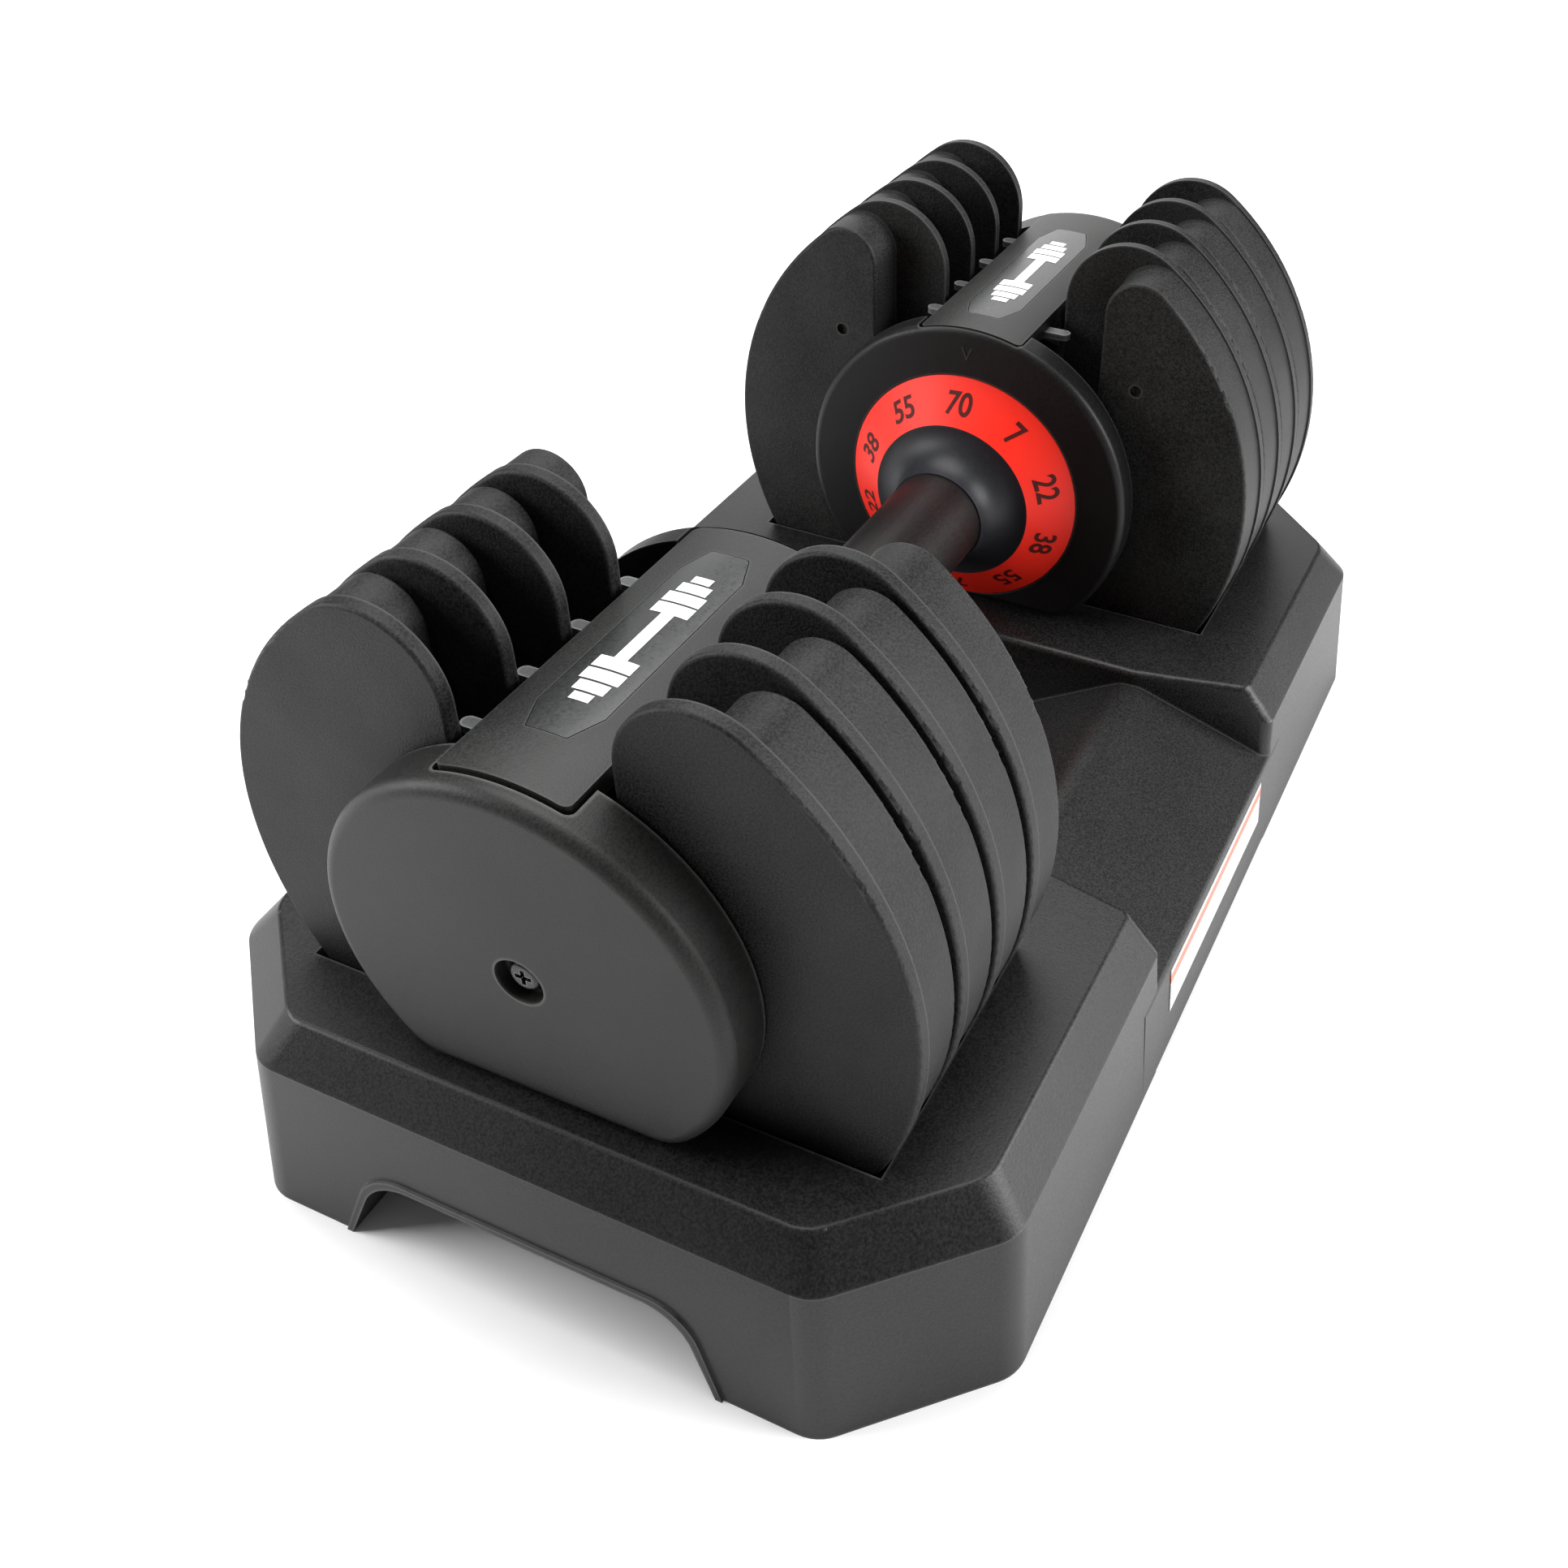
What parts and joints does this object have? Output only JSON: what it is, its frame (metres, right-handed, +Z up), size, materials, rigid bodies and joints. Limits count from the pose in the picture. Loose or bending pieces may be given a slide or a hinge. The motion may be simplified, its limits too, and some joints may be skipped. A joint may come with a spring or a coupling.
{
  "type": "adjustable dumbbell with storage tray",
  "caption": "Adjustable dumbbell in its storage tray: a turning handle with numbered dials picks up slotted plates at both ends.",
  "frame": {"origin": "centre of the tray footprint, on the surface that the tray stands on", "axes": "+X along the handle axis, +Z up, -Y towards the labelled long side of the tray"},
  "size_m": [0.4628, 0.2756, 0.207],
  "materials": {
    "tray_plastic": "fine-grained moulded black",
    "foot_rubber": "matte black",
    "label_film": "white printed film",
    "rod_steel": "ground",
    "tube_steel": "drawn",
    "grip_rubber": "satin dark grey",
    "bezel_nylon": "fine-grained moulded black",
    "cap_nylon": "fine-grained moulded dark grey",
    "black_steel": "black oxide",
    "bridge_nylon": "fine-grained moulded dark grey",
    "badge_enamel": "semi-gloss black",
    "comb_nylon": "moulded grey",
    "zinc_steel": "zinc plated",
    "spring_steel": "drawn wire",
    "bronze": "sintered",
    "hub_plastic": "satin-gloss black",
    "dial_red": "satin red",
    "plate_iron": "coated matte black",
    "selector_nylon": "moulded black"
  },
  "bodies": {
    "tray": {"base_tray": "tray_plastic", "rubber_feet": "foot_rubber", "side_label": "label_film"},
    "frame": {"core_rod": "rod_steel", "inner_bezel_left": "bezel_nylon", "outer_cap_left": "cap_nylon", "cap_screw_left": "black_steel", "top_bridge_left": "bridge_nylon", "badge_plate_left": "badge_enamel", "spacer_comb_left": "comb_nylon", "inner_bezel_right": "bezel_nylon", "outer_cap_right": "cap_nylon", "cap_screw_right": "black_steel", "top_bridge_right": "bridge_nylon", "badge_plate_right": "badge_enamel", "spacer_comb_right": "comb_nylon"},
    "rotor": {"handle_tube": "tube_steel", "grip_sleeve": "grip_rubber", "end_bush_left": "bronze", "hub_cone_left": "hub_plastic", "dial_ring_left": "dial_red", "index_wheel_left": "zinc_steel", "selector_disc_1_left": "selector_nylon", "selector_disc_2_left": "selector_nylon", "selector_disc_3_left": "selector_nylon", "selector_disc_4_left": "selector_nylon", "end_bush_right": "bronze", "hub_cone_right": "hub_plastic", "dial_ring_right": "dial_red", "index_wheel_right": "zinc_steel", "selector_disc_1_right": "selector_nylon", "selector_disc_2_right": "selector_nylon", "selector_disc_3_right": "selector_nylon", "selector_disc_4_right": "selector_nylon"},
    "lock_left": {"lock_slider_left": "zinc_steel", "lock_spring_left": "spring_steel"},
    "plate_1_left": {"weight_plate_1_left": "plate_iron"},
    "plate_2_left": {"weight_plate_2_left": "plate_iron"},
    "plate_3_left": {"weight_plate_3_left": "plate_iron"},
    "plate_4_left": {"weight_plate_4_left": "plate_iron"},
    "lock_right": {"lock_slider_right": "zinc_steel", "lock_spring_right": "spring_steel"},
    "plate_1_right": {"weight_plate_1_right": "plate_iron"},
    "plate_2_right": {"weight_plate_2_right": "plate_iron"},
    "plate_3_right": {"weight_plate_3_right": "plate_iron"},
    "plate_4_right": {"weight_plate_4_right": "plate_iron"}
  },
  "joints": [
    {"name": "dumbbell_lift", "type": "slide", "parent": "tray", "child": "frame", "axis": [0, 0, 1], "range_m": [0, 0.12]},
    {"name": "handle_twist", "type": "hinge", "parent": "frame", "child": "rotor", "pos_m": [0, 0, 0.1165], "axis": [1, 0, 0], "continuous": true},
    {"name": "lock_slide_left", "type": "slide", "parent": "frame", "child": "lock_left", "axis": [0, 0, 1], "range_m": [-0.003, 0], "deforming": ["lock_spring_left"]},
    {"name": "plate_lift_1_left", "type": "slide", "parent": "tray", "child": "plate_1_left", "axis": [0, 0, 1], "range_m": [0, 0.12]},
    {"name": "plate_lift_2_left", "type": "slide", "parent": "tray", "child": "plate_2_left", "axis": [0, 0, 1], "range_m": [0, 0.12]},
    {"name": "plate_lift_3_left", "type": "slide", "parent": "tray", "child": "plate_3_left", "axis": [0, 0, 1], "range_m": [0, 0.12]},
    {"name": "plate_lift_4_left", "type": "slide", "parent": "tray", "child": "plate_4_left", "axis": [0, 0, 1], "range_m": [0, 0.12]},
    {"name": "lock_slide_right", "type": "slide", "parent": "frame", "child": "lock_right", "axis": [0, 0, 1], "range_m": [-0.003, 0], "deforming": ["lock_spring_right"]},
    {"name": "plate_lift_1_right", "type": "slide", "parent": "tray", "child": "plate_1_right", "axis": [0, 0, 1], "range_m": [0, 0.12]},
    {"name": "plate_lift_2_right", "type": "slide", "parent": "tray", "child": "plate_2_right", "axis": [0, 0, 1], "range_m": [0, 0.12]},
    {"name": "plate_lift_3_right", "type": "slide", "parent": "tray", "child": "plate_3_right", "axis": [0, 0, 1], "range_m": [0, 0.12]},
    {"name": "plate_lift_4_right", "type": "slide", "parent": "tray", "child": "plate_4_right", "axis": [0, 0, 1], "range_m": [0, 0.12]}
  ],
  "couplings": [
    {"joint": "lock_slide_left", "follows": "dumbbell_lift", "ratio": -0.025},
    {"joint": "plate_lift_1_left", "follows": "dumbbell_lift", "ratio": 1},
    {"joint": "plate_lift_2_left", "follows": "dumbbell_lift", "ratio": 1},
    {"joint": "plate_lift_3_left", "follows": "dumbbell_lift", "ratio": 1},
    {"joint": "plate_lift_4_left", "follows": "dumbbell_lift", "ratio": 1},
    {"joint": "lock_slide_right", "follows": "dumbbell_lift", "ratio": -0.025},
    {"joint": "plate_lift_1_right", "follows": "dumbbell_lift", "ratio": 1},
    {"joint": "plate_lift_2_right", "follows": "dumbbell_lift", "ratio": 1},
    {"joint": "plate_lift_3_right", "follows": "dumbbell_lift", "ratio": 1},
    {"joint": "plate_lift_4_right", "follows": "dumbbell_lift", "ratio": 1}
  ]
}
